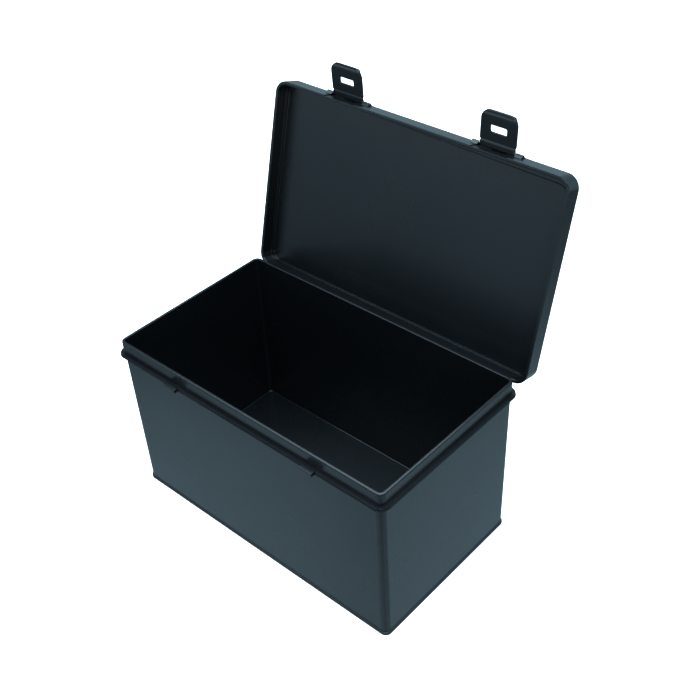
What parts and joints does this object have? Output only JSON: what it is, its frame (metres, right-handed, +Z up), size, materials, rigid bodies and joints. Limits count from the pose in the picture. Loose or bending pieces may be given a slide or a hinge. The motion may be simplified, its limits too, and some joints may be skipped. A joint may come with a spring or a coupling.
{
  "type": "anti-static storage box",
  "caption": "Open rectangular storage box of black conductive plastic, with a flanged rim, a hinged tray lid on pins and swing latches that hook over catches.",
  "frame": {"origin": "middle of the body's base, on the surface that the box stands on", "axes": "+X along the long front to the right, +Y from the latched front to the hinged back, +Z up"},
  "size_m": [0.3096, 0.2454, 0.3564],
  "materials": {
    "shell": "semi-gloss moulded conductive plastic, near black with a blue cast",
    "latch": "semi-gloss moulded plastic, near black",
    "pin": "plain drawn steel pin"
  },
  "bodies": {
    "box": {"body": "shell", "hinge_pin_left": "pin", "hinge_pin_right": "pin"},
    "lid": {"lid": "shell", "latch_pin_left": "pin", "latch_pin_right": "pin"},
    "latch_left": {"latch_left": "latch"},
    "latch_right": {"latch_right": "latch"}
  },
  "joints": [
    {"name": "lid_hinge", "type": "hinge", "parent": "box", "child": "lid", "pos_m": [0, 0.09075, 0.15395], "axis": [1, 0, 0], "range_deg": [0, 104.5]},
    {"name": "latch_left_swing", "type": "hinge", "parent": "lid", "child": "latch_left", "pos_m": [-0.0788, 0.14876, 0.32614], "axis": [1, 0, 0], "range_deg": [-12, 72]},
    {"name": "latch_right_swing", "type": "hinge", "parent": "lid", "child": "latch_right", "pos_m": [0.0788, 0.14876, 0.32614], "axis": [1, 0, 0], "range_deg": [-5.5, 78.5]}
  ]
}
